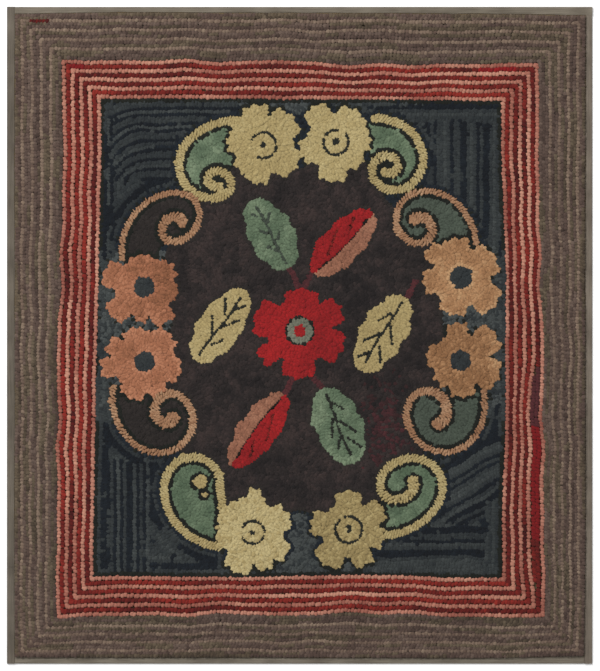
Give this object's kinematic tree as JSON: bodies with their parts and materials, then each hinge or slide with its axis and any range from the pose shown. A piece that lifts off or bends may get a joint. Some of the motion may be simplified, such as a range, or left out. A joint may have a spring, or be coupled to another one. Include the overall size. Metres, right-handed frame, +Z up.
{
  "type": "hooked rug",
  "caption": "Flat rectangular hooked rug with wool loops in rows, a striped border, a wreath of flowers and leaves, and a narrow tape binding folded round its edges.",
  "frame": {"origin": "middle of the underside, on the floor", "axes": "+Z up out of the pile, +Y along the longer sides towards the top of the design, +X towards its right side"},
  "size_m": [0.815, 0.9144, 0.008],
  "materials": {
    "wool_loops": "matt wool loops",
    "edge_tape": "matt woven tape"
  },
  "bodies": {
    "root": {"hooked_field": "wool_loops", "tape_left": "edge_tape", "tape_left_end": "edge_tape", "tape_top": "edge_tape", "tape_right": "edge_tape", "tape_bottom": "edge_tape"}
  },
  "joints": []
}
